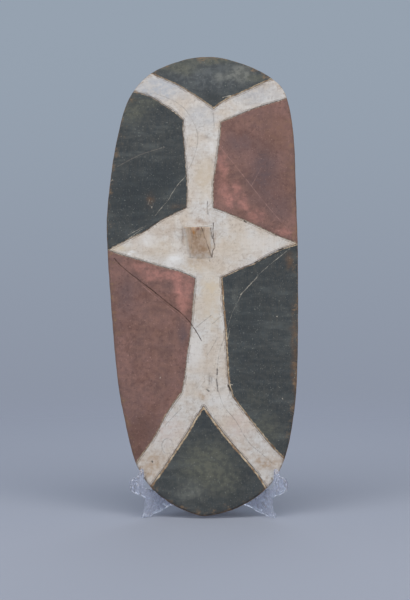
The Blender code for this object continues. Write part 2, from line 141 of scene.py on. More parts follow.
# Knife-cut borders between the painted fields, in the same shares
BORDERS = {
    "top_left": ((-0.601, 0.967), (-0.423, 0.950), (-0.256, 0.934), (-0.118, 0.916),
                 (0.010, 0.898), (0.121, 0.881)),
    "top_right": ((0.121, 0.881), (0.188, 0.892), (0.299, 0.907), (0.392, 0.915), (0.611, 0.937),
                  (0.770, 0.952)),
    "upper_left_top": ((-0.780, 0.923), (-0.561, 0.910), (-0.422, 0.892), (-0.284, 0.872),
                       (-0.199, 0.855)),
    "upper_left_side": ((-0.199, 0.855), (-0.201, 0.830), (-0.190, 0.799), (-0.168, 0.738),
                        (-0.159, 0.699), (-0.164, 0.660)),
    "diamond_upper_left": ((-0.164, 0.660), (-0.311, 0.645), (-0.402, 0.636), (-0.487, 0.625),
                           (-0.566, 0.613), (-0.646, 0.604), (-0.807, 0.588), (-0.981, 0.569)),
    "upper_right_top": ((0.954, 0.910), (0.821, 0.900), (0.578, 0.884), (0.369, 0.866),
                        (0.197, 0.850)),
    "upper_right_side": ((0.197, 0.850), (0.184, 0.816), (0.150, 0.760), (0.117, 0.716),
                         (0.115, 0.660)),
    "diamond_upper_right": ((0.115, 0.660), (0.329, 0.643), (0.543, 0.624), (0.800, 0.599),
                            (1.004, 0.583)),
    "diamond_lower_left": ((-1.010, 0.570), (-0.819, 0.556), (-0.596, 0.542), (-0.389, 0.529),
                           (-0.231, 0.520), (-0.073, 0.505)),
    "lower_left_side": ((-0.073, 0.505), (-0.093, 0.458), (-0.119, 0.396), (-0.162, 0.329),
                        (-0.180, 0.295), (-0.211, 0.260)),
    "left_leg": ((-0.211, 0.260), (-0.351, 0.220), (-0.506, 0.160), (-0.612, 0.130),
                 (-0.721, 0.098)),
    "diamond_lower_right": ((1.019, 0.583), (0.811, 0.569), (0.669, 0.554), (0.523, 0.537),
                            (0.412, 0.528), (0.197, 0.507)),
    "lower_right_side": ((0.197, 0.507), (0.215, 0.448), (0.238, 0.397), (0.250, 0.351),
                         (0.273, 0.281), (0.314, 0.251)),
    "right_leg": ((0.314, 0.251), (0.414, 0.223), (0.555, 0.186), (0.740, 0.140), (0.899, 0.109)),
    "bottom_left": ((-0.572, 0.050), (-0.394, 0.100), (-0.240, 0.148), (-0.157, 0.173),
                    (-0.074, 0.203), (0.014, 0.231)),
    "bottom_right": ((0.014, 0.231), (0.217, 0.174), (0.469, 0.113), (0.568, 0.088),
                     (0.730, 0.036)),
}

# Painted fields: the borders that bound each one, then corners clear of the board
BLACK_FIELDS = (
    (("top_left", "top_right"), ((0.95, 1.20), (-0.80, 1.20))),
    (("upper_left_top", "upper_left_side", "diamond_upper_left"), ((-1.40, 0.56), (-1.40, 0.95))),
    (("diamond_lower_right", "lower_right_side", "right_leg"), ((1.40, 0.11), (1.40, 0.58))),
    (("bottom_left", "bottom_right"), ((0.70, -0.20), (-0.60, -0.20))),
)
RED_FIELDS = (
    (("upper_right_top", "upper_right_side", "diamond_upper_right"), ((1.40, 0.58), (1.40, 0.92))),
    (("diamond_lower_left", "lower_left_side", "left_leg"), ((-1.40, 0.05), (-1.40, 0.56))),
)

# Arcs scribed before painting: grey on the white, bare and pale in the black, faint in the red
GREY_LINES = (
    ((-0.191, 0.617), (-0.107, 0.618), (-0.003, 0.618), (0.101, 0.620)),
    ((-0.148, 0.551), (-0.034, 0.549), (0.101, 0.550)),
    ((-0.896, 0.752), (-0.655, 0.778), (-0.392, 0.795)),
    ((-0.107, 0.616), (-0.105, 0.587), (-0.124, 0.552)),
    ((-0.606, 0.918), (-0.500, 0.915), (-0.394, 0.907), (-0.288, 0.897), (-0.209, 0.885),
     (-0.156, 0.872), (-0.103, 0.853), (-0.064, 0.836), (-0.048, 0.816), (-0.053, 0.799),
     (-0.074, 0.782), (-0.103, 0.763), (-0.142, 0.746)),
    ((0.114, 0.872), (0.127, 0.838)),
    ((-0.044, 0.839), (0.068, 0.843)),
    ((-0.055, 0.400), (0.018, 0.413), (0.093, 0.425)),
    ((0.106, 0.407), (0.197, 0.423)),
    ((0.158, 0.378), (0.119, 0.362), (0.054, 0.340)),
    ((0.235, 0.381), (0.189, 0.354), (0.164, 0.329), (0.157, 0.308), (0.151, 0.271), (0.170, 0.260),
     (0.221, 0.231), (0.336, 0.202), (0.477, 0.154), (0.605, 0.131), (0.720, 0.110)),
    ((-0.215, 0.226), (-0.305, 0.207), (-0.420, 0.181)),
    ((-0.298, 0.146), (-0.315, 0.135), (-0.356, 0.131), (-0.396, 0.135), (-0.413, 0.146),
     (-0.397, 0.158), (-0.356, 0.162), (-0.315, 0.158), (-0.298, 0.146)),
    ((0.100, 0.293), (0.097, 0.274)),
    ((0.075, 0.291), (0.072, 0.276)),
)
PALE_LINES = (
    ((-0.165, 0.735), (-0.181, 0.728), (-0.233, 0.716), (-0.286, 0.702), (-0.364, 0.675),
     (-0.403, 0.666), (-0.494, 0.643)),
    ((-0.624, 0.618), (-0.703, 0.609), (-0.775, 0.601)),
    ((-0.588, 0.621), (-0.702, 0.603), (-0.817, 0.586)),
    ((0.915, 0.572), (0.797, 0.552), (0.653, 0.527), (0.574, 0.511), (0.485, 0.489), (0.398, 0.468),
     (0.372, 0.456), (0.313, 0.432), (0.274, 0.407), (0.255, 0.391)),
    ((0.287, 0.398), (0.266, 0.375)),
)
FAINT_LINES = (
    ((0.191, 0.794), (0.416, 0.735), (0.673, 0.667), (0.928, 0.606)),
    ((0.626, 0.752), (0.565, 0.728), (0.512, 0.708)),
    ((-0.935, 0.552), (-0.780, 0.522), (-0.560, 0.479), (-0.330, 0.440), (-0.140, 0.405)),
)

# Dark cuts, drying cracks and the creases of the boss
DARK_CUTS = (
    ((-0.936, 0.554), (-0.857, 0.536), (-0.752, 0.517), (-0.647, 0.500), (-0.543, 0.484),
     (-0.425, 0.464), (-0.334, 0.448), (-0.230, 0.432), (-0.127, 0.410), (-0.114, 0.406),
     (-0.055, 0.388), (-0.008, 0.370)),
    ((0.117, 0.626), (0.113, 0.603), (0.120, 0.586), (0.133, 0.575), (0.109, 0.564),
     (0.104, 0.551)),
    ((0.087, 0.614), (0.096, 0.600), (0.107, 0.592)),
    ((0.074, 0.545), (0.075, 0.541)),
    ((0.100, 0.558), (0.100, 0.554)),
    ((0.057, 0.674), (0.052, 0.659), (0.061, 0.644)),
    ((-0.008, 0.612), (0.039, 0.585), (0.096, 0.552)),
)

# Short places where the paint has sprung off, and where dark paint was spilt on the white
CHIPS = (
    ((-0.201, 0.840), (-0.207, 0.830)),
    ((-0.551, 0.679), (-0.566, 0.668)),
    ((-0.526, 0.663), (-0.530, 0.660)),
    ((-0.963, 0.720), (-0.932, 0.724)),
    ((-0.429, 0.293), (-0.433, 0.290)),
    ((0.824, 0.248), (0.830, 0.246)),
    ((0.284, 0.278), (0.312, 0.276)),
    ((0.936, 0.292), (0.952, 0.293)),
    ((0.770, 0.424), (0.780, 0.423)),
    ((-0.769, 0.563), (-0.685, 0.559)),
    ((0.213, 0.906), (0.303, 0.911)),
    ((0.574, 0.509), (0.486, 0.490), (0.397, 0.470)),
)
FLECKS = (
    ((0.155, 0.310), (0.154, 0.299)),
    ((0.148, 0.288), (0.160, 0.263)),
    ((-0.514, 0.115), (-0.510, 0.113)),
    ((0.768, 0.600), (0.775, 0.598)),
    ((0.439, 0.631), (0.457, 0.629)),
    ((0.269, 0.275), (0.292, 0.263)),
    ((-0.491, 0.626), (-0.483, 0.622)),
    ((0.674, 0.552), (0.701, 0.555)),
    ((0.612, 0.545), (0.643, 0.549)),
    ((0.737, 0.559), (0.769, 0.562)),
    ((0.800, 0.568), (0.842, 0.572)),
    ((0.549, 0.540), (0.575, 0.542)),
    ((0.070, 0.263), (0.049, 0.266)),
)

# How wide the wood shows along each border, on its coloured side, in mm
BARE_STRIPS = {
    "top_left": 1.7, "top_right": 2.0, "upper_left_top": 1.1, "upper_left_side": 0.9,
    "diamond_upper_left": 1.0, "upper_right_top": 0.9, "upper_right_side": 0.9,
    "diamond_upper_right": 1.0, "diamond_lower_left": 0.9, "lower_left_side": 0.9,
    "left_leg": 1.4, "diamond_lower_right": 1.4, "lower_right_side": 2.3, "right_leg": 2.1,
    "bottom_left": 2.7, "bottom_right": 2.7,
}

# Tones that the paints are stained with, two of them partly painted light: a sheen on the black's
# top cap and a shade along the left rim
TONES = {
    "mist": "#b1b4ba", "chalk": "#e2dfdc", "grime": "#8c7f74", "cream": "#d0c0a9",
    "ochre": "#bd9765", "tan": "#a88a6c", "bone": "#c9bcaa", "bistre": "#4f3b28",
    "umber": "#8d6640", "rose": "#cdb4ab", "amber": "#b5804c", "oxblood": "#6d332a",
    "dust_and_top_sheen": "#777c80", "olive": "#68685c", "dust": "#8d8d84", "soot": "#2c3338",
    "rust": "#6b5340", "clay": "#7e5f52", "dusk": "#594e53", "salmon": "#c0867b",
    "bark_and_rim_shade": "#563f38",
}

# Soft stains in each paint, with some painted sheen and shade among them: middle in shares of the
# board, half width and height in mm, strength
WHITE_STAINS = {
    "mist": ((-0.45, 0.925, 38, 16, 0.8), (0.0, 0.868, 20, 16, 0.5), (0.55, 0.915, 36, 14, 0.5)),
    "chalk": ((0.09, 0.795, 6, 8, 0.7), (0.049, 0.686, 3.0, 11.4, 0.6),
              (-0.732, 0.561, 4.3, 2.5, 1.0), (0.60, 0.583, 26, 13, 0.4),
              (-0.57, 0.588, 11, 8, 0.7), (-0.29, 0.548, 12, 9, 0.9), (0.04, 0.519, 4, 11, 0.5),
              (-0.07, 0.346, 10, 20, 0.5), (0.19, 0.244, 11, 9, 0.4)),
    "grime": ((0.63, 0.933, 11, 5, 0.3), (0.50, 0.908, 10, 4, 0.2), (0.05, 0.817, 5, 5, 0.4),
              (0.435, 0.568, 3.1, 2.0, 0.5), (0.090, 0.287, 2.0, 6.3, 0.7),
              (-0.04, 0.270, 4, 5, 0.3), (0.209, 0.269, 4.5, 2.5, 0.8),
              (0.02, 0.740, 10, 22, 0.14)),
    "cream": ((0.03, 0.726, 11, 28, 0.5), (-0.90, 0.573, 11, 5, 0.9), (-0.05, 0.532, 15, 10, 0.6),
              (-0.45, 0.572, 15, 9, 0.3), (0.35, 0.583, 22, 15, 0.3), (0.09, 0.480, 12, 22, 0.8),
              (0.10, 0.420, 12, 15, 0.5)),
    "ochre": ((-0.973, 0.569, 3.7, 3.2, 0.8), (0.95, 0.580, 6, 4, 0.8)),
    "tan": ((-0.39, 0.607, 17, 8, 0.2), (-0.54, 0.566, 12, 5, 0.2), (0.034, 0.329, 2.0, 15.2, 0.4),
            (0.008, 0.250, 2.5, 5.1, 0.6), (-0.50, 0.117, 16, 10, 0.5), (-0.55, 0.092, 11, 10, 0.6),
            (0.61, 0.111, 11, 10, 0.55), (0.48, 0.147, 10, 8, 0.3), (0.73, 0.109, 9, 8, 0.5)),
    "umber": ((0.018, 0.630, 11.2, 3.2, 0.45), (-0.216, 0.589, 3.1, 15.2, 0.2),
              (-0.07, 0.596, 6, 11, 0.6), (-0.02, 0.567, 11, 9, 0.5),
              (-0.180, 0.594, 1.9, 14.0, 0.4), (-0.04, 0.540, 14, 7, 0.3),
              (0.14, 0.590, 2, 12, 0.3)),
    "rose": ((-0.35, 0.176, 20, 19, 0.3), (0.37, 0.191, 15, 18, 0.3),
             (-0.029, 0.601, 2.5, 2.5, 0.5)),
    "amber": ((-0.095, 0.604, 2.2, 5.1, 0.7),),
    "oxblood": ((-0.045, 0.612, 2.7, 2.5, 0.8),),
    "bone": ((0.065, 0.588, 3, 12, 0.6), (-0.145, 0.590, 2.6, 13, 0.6)),
    "bistre": ((-0.010, 0.602, 4.0, 5, 0.42), (-0.205, 0.598, 1.5, 14, 0.45)),
}
BLACK_STAINS = {
    # This broad pale oval over the top cap is partly dust and partly painted sheen: it lightens the
    # top as if the top caught more of the light from above.
    "dust_and_top_sheen": ((0.05, 0.955, 62, 22, 0.30),),
    "olive": ((-0.22, 0.974, 22, 9, 0.7), (0.10, 0.989, 27, 5, 0.7), (0.57, 0.951, 11, 6, 0.7),
              (-0.73, 0.872, 16, 14, 0.6), (-0.57, 0.895, 15, 5, 0.5), (0.65, 0.181, 17, 20, 0.5),
              (0.54, 0.244, 15, 15, 0.2), (0.05, 0.105, 32, 28, 0.8), (0.24, 0.065, 17, 15, 0.4)),
    "dust": ((0.40, 0.962, 16, 10, 0.6), (0.21, 0.951, 11, 8, 0.4), (0.35, 0.459, 4, 18, 0.2),
             (-0.12, 0.050, 20, 10, 0.3)),
    "soot": ((0.10, 0.905, 10, 10, 0.3), (-0.44, 0.726, 30, 20, 0.5), (-0.75, 0.679, 26, 28, 0.5),
             (0.49, 0.416, 22, 33, 0.3), (0.02, 0.202, 10, 13, 0.3)),
    "rust": ((-0.55, 0.678, 5, 8, 0.5), (-0.27, 0.664, 10, 4, 0.3), (0.91, 0.543, 5, 10, 0.6),
             (0.948, 0.330, 3.1, 63.5, 0.6)),
}
RED_STAINS = {
    "clay": ((0.79, 0.830, 16, 22, 0.6), (0.92, 0.745, 7, 38, 0.4), (0.50, 0.856, 22, 6, 0.4),
             (-0.44, 0.394, 25, 33, 0.2), (-0.38, 0.298, 17, 23, 0.2)),
    "dusk": ((0.64, 0.740, 19, 36, 0.6), (0.40, 0.806, 16, 14, 0.5), (0.81, 0.667, 15, 18, 0.4),
             (-0.79, 0.468, 11, 28, 0.4), (-0.20, 0.385, 4, 14, 0.6)),
    "salmon": ((0.30, 0.676, 6, 8, 0.7), (0.35, 0.702, 6, 9, 0.5), (0.23, 0.699, 7, 13, 0.5),
               (0.21, 0.752, 6, 14, 0.5), (0.44, 0.669, 6, 10, 0.6), (0.56, 0.643, 11, 8, 0.35),
               (0.86, 0.608, 10, 5, 0.5), (-0.25, 0.487, 7, 13, 1.0), (-0.21, 0.454, 6, 15, 0.5),
               (-0.52, 0.513, 15, 8, 0.5), (-0.67, 0.531, 10, 5, 0.4), (-0.34, 0.511, 11, 6, 0.5),
               (-0.15, 0.480, 5, 25, 0.4)),
    # The last oval here, a thin tall strip on the left rim of the red, is partly dark brown wear
    # and partly painted shade where the rim turns away from the light.
    "bark_and_rim_shade": ((-0.64, 0.181, 22, 23, 0.5), (-0.66, 0.134, 11, 5, 0.6), (-0.91, 0.395, 4, 51, 0.3)),
}

# Patterns in the wood and the paints: size in mm across, up and through, the span of the noise
# that is kept, its detail and its seed
PATTERNS = {
    "streaks": ((1.3, 34, 6), 0.36, 0.64, 4, 0.0),
    "fine_streaks": ((0.7, 16, 3), 0.40, 0.62, 3, 7.3),
    "blotches": ((26, 38, 26), 0.38, 0.62, 4, 0.0),
    "clouds": ((48, 30, 40), 0.40, 0.60, 3, 3.1),
    "smears": ((30, 7, 20), 0.45, 0.66, 5, 9.7),
    "brushing": ((14, 2.6, 8), 0.50, 0.68, 4, 4.6),
    "mottles": ((7, 6, 7), 0.40, 0.62, 5, 6.4),
    "wiped": ((3.4, 3.0, 3.4), 0.54, 0.66, 4, 8.8),
    "specks": ((1.5, 1.9, 1.5), 0.64, 0.71, 2, 1.7),
    "pores": ((0.8, 5.0, 2.0), 0.62, 0.72, 2, 5.9),
    "ragged": ((2.2, 3.0, 2.2), 0.0, 1.0, 4, 2.3),
    "uneven": ((11, 11, 11), 0.36, 0.58, 3, 12.1),
    "runs": ((1.6, 16, 4), 0.46, 0.62, 3, 15.2),
}
RUBS = ((1.4, 22, 8), 0.60, 0.74, 3, 21.0)
RUBS_TURN = math.radians(38)

# Wood and paints: the first colour, then each coat's colour, pattern and strength
WOOD = ("#80614a", (
    ("#95755a", "streaks", 1.0), ("#6a4e3a", "blotches", 0.40), ("#4f3828", "pores", 0.55),
    ("#5d4230", "hollow", 0.40), ("#a5825f", "held", 0.55)))
BARE_STRIP = ("#92755a", (
    ("#d2bea0", "uneven", 0.80), ("#cfc3b2", "wiped", 0.60), ("#4b382a", "mottles", 0.45)))
WHITE = ("#d6cfc7", (
    ("#c8b5a0", "blotches", 0.45), ("#d2d4d6", "clouds", 0.45), ("#ab9886", "mottles", 0.24),
    ("#a08c7a", "brushing", 0.20), ("#8f7b69", "wiped", 0.32), ("#9d8b7b", "streaks", 0.08),
    ("#6f5c4d", "pores", 0.40), ("#97826e", "rubs", 0.34), ("#c89d71", "on_boss", 0.50),
    ("#75603f", "drips", 0.50)))
BLACK = ("#3d4245", (
    ("#595e5e", "smears", 0.60), ("#33383c", "clouds", 0.50), ("#62615b", "mottles", 0.20),
    ("#6c6c68", "rubs", 0.22), ("#5f5b50", "fine_streaks", 0.18)))
RED = ("#775850", (
    ("#8f6e68", "clouds", 0.55), ("#6a5552", "blotches", 0.45), ("#a27a6c", "mottles", 0.30),
    ("#54413d", "streaks", 0.14), ("#b08478", "rubs", 0.26), ("#4f3d3a", "wiped", 0.42)))
BLACK_SPECKS = "#a3a59c"
RED_SPECKS = "#c09a8e"
SPECK_STRENGTH = 0.40

# How lines show: colour, mm from the middle where the colour starts and is full, strength
LINE_LOOKS = {
    "grey_gap": ("#7d756e", 1.1, 0.4, 0.70), "pale_gap": ("#b9b1a3", 0.95, 0.3, 0.85),
    "faint_gap": ("#b08a80", 1.1, 0.4, 0.50), "fleck_gap": ("#3c3b3a", 1.8, 0.9, 1.00),
    "chip_gap": ("#cfc4b4", 1.15, 0.45, 0.80), "cut_gap": ("#453228", 1.25, 0.55, 0.85),
}
LINE_FRAY = 0.8

# The two dark lines beside each border, in the white: how far in, in mm, then as above, and the
# pattern that breaks the line up
BESIDE_BORDERS = (
    (0.35, "#3f2d22", 1.35, 0.55, 0.85, "ragged"),
    (2.0, "#6d5746", 1.1, 0.4, 0.70, "uneven"),
)

# Wear towards the rim: colour, mm from the rim where it starts and is full, how far that strays,
# strength, and the pattern that it shows in
RIM_WEAR = (
    ("#8a6d51", 9.0, 1.0, 6.0, 0.50, "mottles"),
    ("#967b5e", 13.0, 2.0, 7.0, 0.60, "wiped"),
)

# Edges of the layers: where each starts, where it is full and how far the edge strays. Those of
# the fields and the bare rim are in mm, those of the face and the boss in shares.
STRIP_EDGE = (0.35, 0.75, 0.9)
PAINT_EDGE = (0.3, 0.9, 2.2)
FACE_EDGE = (0.15, 0.5, 0.1)
BOSS_EDGE = (0.08, 0.40, 0.10)
BARE_RIM = (2.9, 0.8, 3.2)
BARE_RIM_STRENGTH = 0.85

# Camera at the photograph's height and angle, for a picture of 410 by 600
CAMERA_PLACE = (0.00346, -2.2269, 0.3762)
CAMERA_TILT = math.radians(87.0)
PICTURE_TALL = 600
FOCAL_PIXELS = 1807.0
SENSOR_TALL = 24.0

# Lights: place, what each one faces, width and height, watts, colour
MIDDLE = (0, 0, 0.28)
FEET = (0, 0, 0.05)
LIGHTS = {
    "overhead": ((0.0, -0.9, 2.3), MIDDLE, (2.2, 1.4), 25, "#fffaf2"),
    "left_box": ((-2.0, -1.7, 1.2), MIDDLE, (1.3, 1.8), 18.5, "#ffffff"),
    "right_box": ((2.0, -1.8, 1.1), MIDDLE, (1.3, 1.8), 17, "#fff8ee"),
    "low_left": ((-0.7, -1.3, 0.55), FEET, (0.045, 0.045), 0.80, "#ffffff"),
    "low_right": ((0.7, -1.3, 0.55), FEET, (0.045, 0.045), 0.70, "#ffffff"),
    "behind": ((0.3, 2.4, 1.5), MIDDLE, (1.6, 1.2), 16, "#f4f8ff"),
}
FLOOR_RADIUS = 2.4
FLOOR_DROP = 0.0004


def linear(code):
    """A colour given as sRGB hex, as the linear values that a shader takes."""
    shares = [int(code[index:index + 2], 16) / 255 for index in (1, 3, 5)]
    values = [s / 12.92 if s <= 0.04045 else ((s + 0.055) / 1.055) ** 2.4 for s in shares]
    return (*values, 1.0)


def add_node(tree, kind, inputs=None, **settings):
    """Adds one node, with its settings, and gives each input a value or a link."""
    made = tree.nodes.new(kind)
    for name, value in settings.items():
        setattr(made, name, value)
    for socket, value in (inputs or {}).items():
        if isinstance(value, bpy.types.NodeSocket):
            tree.links.new(value, made.inputs[socket])
        else:
            made.inputs[socket].default_value = value
    return made


def make_camera():
    lens = bpy.data.cameras.new("camera")
    lens.sensor_fit = "VERTICAL"
    lens.sensor_height = SENSOR_TALL
    lens.lens = FOCAL_PIXELS * SENSOR_TALL / PICTURE_TALL
    camera = bpy.data.objects.new("camera", lens)
    camera.location = CAMERA_PLACE
    camera.rotation_euler = (CAMERA_TILT, 0, 0)
    bpy.context.scene.collection.objects.link(camera)
    bpy.context.scene.camera = camera


def make_light(name, place, target, size, watts, color):
    """A soft box: a rectangle of light at a place, turned to face a target."""
    lamp = bpy.data.lights.new(name, "AREA")
    lamp.shape = "RECTANGLE"
    lamp.size = size[0]
    lamp.size_y = size[1]
    lamp.energy = watts
    lamp.color = linear(color)[:3]
    box = bpy.data.objects.new(name, lamp)
    box.location = place
    box.rotation_euler = (Vector(target) - Vector(place)).to_track_quat("-Z", "Y").to_euler()
    bpy.context.scene.collection.objects.link(box)


def make_studio():
    """Pale grey-blue surroundings, three soft boxes in front and above, and one behind.

    Two small low lamps in front put the glints on the clear plates.
    """
    world = bpy.data.worlds.new("studio")
    bpy.context.scene.world = world
    world.use_nodes = True
    tree = world.node_tree
    tree.nodes.clear()
    way = add_node(tree, "ShaderNodeTexCoord")
    parts = add_node(tree, "ShaderNodeSeparateXYZ", {0: way.outputs["Generated"]})
    rise = add_node(tree, "ShaderNodeMapRange", {0: parts.outputs["Z"], 1: -0.16, 2: 0.11},
                    interpolation_type="SMOOTHSTEP")
    shade = add_node(tree, "ShaderNodeMix", {0: rise.outputs[0], 6: linear("#8c93a3"),
                                             7: linear("#96a2b0")}, data_type="RGBA")
    glow = add_node(tree, "ShaderNodeBackground", {0: shade.outputs[2], 1: 1.0})
    add_node(tree, "ShaderNodeOutputWorld", {0: glow.outputs[0]})
    for name, light in LIGHTS.items():
        make_light(name, *light)


def make_floor():
    """A round pale floor that fades into the surroundings, so that no edge of it shows."""
    bm = bmesh.new()
    bmesh.ops.create_circle(bm, cap_ends=True, radius=FLOOR_RADIUS, segments=96)
    bmesh.ops.translate(bm, verts=bm.verts, vec=(0, 0, -FLOOR_DROP))
    mesh = bpy.data.meshes.new("floor")
    bm.to_mesh(mesh)
    bm.free()
    floor = bpy.data.objects.new("floor", mesh)
    bpy.context.scene.collection.objects.link(floor)
    material = bpy.data.materials.new("matte studio paper")
    material.use_nodes = True
    tree = material.node_tree
    tree.nodes.clear()
    place = add_node(tree, "ShaderNodeTexCoord").outputs["Object"]
    reach = add_node(tree, "ShaderNodeVectorMath", {0: place}, operation="LENGTH")
    fade = add_node(tree, "ShaderNodeMapRange", {0: reach.outputs["Value"], 1: 0.35, 2: 1.6},
                    interpolation_type="SMOOTHSTEP")
    paper = add_node(tree, "ShaderNodeBsdfDiffuse", {"Color": linear("#a3a7b3")})
    clear = add_node(tree, "ShaderNodeBsdfTransparent")
    mixed = add_node(tree, "ShaderNodeMixShader", {0: fade.outputs[0], 1: paper.outputs[0],
                                                   2: clear.outputs[0]})
    add_node(tree, "ShaderNodeOutputMaterial", {0: mixed.outputs[0]})
    mesh.materials.append(material)


def board_place(share):
    """A point given in shares of half the width and of the height, in metres on the board."""
    return share[0] * SHIELD_WIDTH / 2, share[1] * SHIELD_HEIGHT


def smooth_line(points, steps, closed=False):
    """Points in a plane on a smooth curve through the given ones, steps of them to a span."""
    points = [Vector((point[0], point[1], 0.0)) for point in points]
    count = len(points)
    spans = count if closed else count - 1
    line = []
    for index in range(spans):
        start = points[index]
        end = points[(index + 1) % count]
        before = points[index - 1] if closed or index else start
        after = points[(index + 2) % count] if closed or index < spans - 1 else end
        reach = (end - start).length / 3
        leave = start + (end - before).normalized() * reach
        arrive = end - (after - start).normalized() * reach
        line += interpolate_bezier(start, leave, arrive, end, steps + 1)[:-1]
    if not closed:
        line.append(points[-1])
    return [(point.x, point.y) for point in line]


def drawn(strokes):
    """Strokes given in shares, as smooth lines on the board."""
    return [smooth_line([board_place(share) for share in stroke], LINE_STEPS)
            for stroke in strokes]


RIM_LINE = smooth_line([board_place(share) for share in OUTLINE], OUTLINE_STEPS, closed=True)
BORDER_LINES = dict(zip(BORDERS, drawn(BORDERS.values())))
LINES = {"grey_gap": drawn(GREY_LINES), "pale_gap": drawn(PALE_LINES),
         "faint_gap": drawn(FAINT_LINES), "cut_gap": drawn(DARK_CUTS),
         "chip_gap": drawn(CHIPS), "fleck_gap": drawn(FLECKS)}


def dome(x, y):
    """How far the board's two faces bulge forward of the rim's plane."""
    across = (x / (SHIELD_WIDTH / 2)) ** 2
    along = ((y - SHIELD_HEIGHT / 2) / (SHIELD_HEIGHT / 2)) ** 4
    return DOME_RISE * (1 - np.minimum(1.0, across + along)) ** 2


def line_gap(places, lines):
    """Distance from each place on the board to the nearest of some lines."""
    nearest = np.full(len(places), np.inf)
    for line in lines:
        for start, end in zip(line, line[1:]):
            run = np.subtract(end, start)
            if not run.any():
                continue
            along = np.clip((places - start) @ run / (run @ run), 0, 1)
            off = places - start - along[:, None] * run
            nearest = np.minimum(nearest, np.hypot(off[:, 0], off[:, 1]))
    return nearest


def field_depth(places, fields):
    """How deep each place lies inside the nearest of some painted fields, negative outside."""
    deepest = np.full(len(places), -np.inf)
    for names, corners in fields:
        edge = [place for name in names for place in BORDER_LINES[name]]
        edge += [board_place(corner) for corner in corners]
        edge.append(edge[0])
        inside = np.zeros(len(places), bool)
        for start, end in zip(edge, edge[1:]):
            spans = (start[1] > places[:, 1]) != (end[1] > places[:, 1])
            climb = end[1] - start[1] or 1.0
            crossing = start[0] + (places[:, 1] - start[1]) * (end[0] - start[0]) / climb
            inside ^= spans & (places[:, 0] < crossing)
        gap = line_gap(places, [edge])
        deepest = np.maximum(deepest, np.where(inside, gap, -gap))
    return deepest


def rough(places, sizes, seed):
    """Smooth noise from -1 to 1 on the places, its lumps of a given size in mm along each axis."""
    scale = 1 / (np.array(sizes) * MM)
    return np.array([noise.noise(Vector(place * scale) + Vector((seed, 0, 0)))
                     for place in places])


def stained(places, stains):
    """Tone and cover of soft stains and of painted sheen and shade, each an oval laid over the ones
    before it.
    """
    tone = np.zeros((len(places), 3))
    cover = np.zeros(len(places))
    for name, ovals in stains.items():
        color = np.array(linear(TONES[name])[:3])
        for across, up, wide, tall, strength in ovals:
            off = (places - board_place((across, up))) / (wide * MM, tall * MM)
            laid = strength * np.exp(-(off ** 2).sum(1) ** 1.4)
            tone = tone * (1 - laid)[:, None] + color * laid[:, None]
            cover = cover * (1 - laid) + laid
    return tone / np.maximum(cover, 0.001)[:, None], cover


def slope_from(places, foot_start, foot_end, ridge):
    """Height of a plane that rises from a foot line to the boss's full rise over a ridge point."""
    run = np.subtract(foot_end, foot_start)
    side = np.array((-run[1], run[0])) / np.hypot(*run)
    reach = side @ np.subtract(ridge, foot_start)
    return (places - foot_start) @ side * BOSS_RISE / reach


def boss_height(places):
    """Height of the boss above the painted face, its edges and its foot worn soft."""
    top_left = (BOSS_TOP_LEFT, BOSS_TOP)
    top_right = (BOSS_TOP_RIGHT, BOSS_TOP)
    low_left = (BOSS_BOTTOM_LEFT, BOSS_BOTTOM)
    low_right = (BOSS_BOTTOM_RIGHT, BOSS_BOTTOM)
    ridge_middle = (BOSS_RIDGE_TOP + BOSS_RIDGE_BOTTOM) / 2
    planes = [
        np.full(len(places), BOSS_RISE),
        slope_from(places, top_left, top_right, (0, BOSS_RIDGE_TOP)),
        slope_from(places, low_left, low_right, (0, BOSS_RIDGE_BOTTOM)),
        slope_from(places, top_left, low_left, (BOSS_RIDGE_LEFT, ridge_middle)),
        slope_from(places, top_right, low_right, (BOSS_RIDGE_RIGHT, ridge_middle)),
    ]
    lowest = np.min(planes, axis=0)
    over = sum(np.exp((lowest - plane) / BOSS_EDGE_WEAR) for plane in planes)
    worn = lowest - BOSS_EDGE_WEAR * np.log(over)
    return BOSS_FOOT_WEAR * np.logaddexp(0, worn / BOSS_FOOT_WEAR)


def grip_form():
    """The loop grip as a rod of oval section that leaves the back, rises and returns."""
    middle = (BOSS_TOP + BOSS_BOTTOM) / 2
    back = dome(0, middle) - BOARD_THICKNESS
    bar = back - FINGER_DEPTH - GRIP_BAR / 2
    rise = back - bar
    # From the foot to near the middle: share of half the length, of the rise, and of the thickness
    side = ((1.00, -CARVED_OVERLAP / rise, GRIP_FLARE), (0.98, 0.15, GRIP_FLARE * 0.94),
            (0.90, 0.55, GRIP_FLARE * 0.80), (0.70, 0.92, 1.08), (0.35, 1.00, 1.00))
    whole = list(side) + [(0.0, 1.0, 1.0)] + [(-a, b, c) for a, b, c in reversed(side)]
    path = [(along * GRIP_LENGTH / 2, back - deep * rise) for along, deep, _ in whole]
    line = smooth_line(path, GRIP_STEPS)
    widths = smooth_line([(index, width) for index, (_, _, width) in enumerate(whole)], GRIP_STEPS)
    curve = bpy.data.curves.new("grip_rod", "CURVE")
    curve.dimensions = "3D"
    curve.fill_mode = "FULL"
    curve.twist_mode = "Z_UP"
    curve.bevel_depth = GRIP_BAR / 2
    curve.bevel_resolution = 6
    curve.use_fill_caps = True
    spline = curve.splines.new("POLY")
    spline.points.add(len(line) - 1)
    for point, (along, depth), (_, width) in zip(spline.points, line, widths):
        point.co = (0.0, middle + along, depth, 1.0)
        point.radius = width
    rod = bpy.data.objects.new("grip_rod", curve)
    bpy.context.scene.collection.objects.link(rod)
    graph = bpy.context.evaluated_depsgraph_get()
    mesh = bpy.data.meshes.new_from_object(rod.evaluated_get(graph))
    bpy.data.objects.remove(rod)
    bm = bmesh.new()
    bm.from_mesh(mesh)
    bmesh.ops.remove_doubles(bm, verts=bm.verts, dist=WELD)
    bmesh.ops.recalc_face_normals(bm, faces=bm.faces)
    bmesh.ops.scale(bm, verts=bm.verts, vec=(GRIP_WIDTH / GRIP_BAR, 1, 1))
    bm.to_mesh(mesh)
    bm.free()
    return mesh


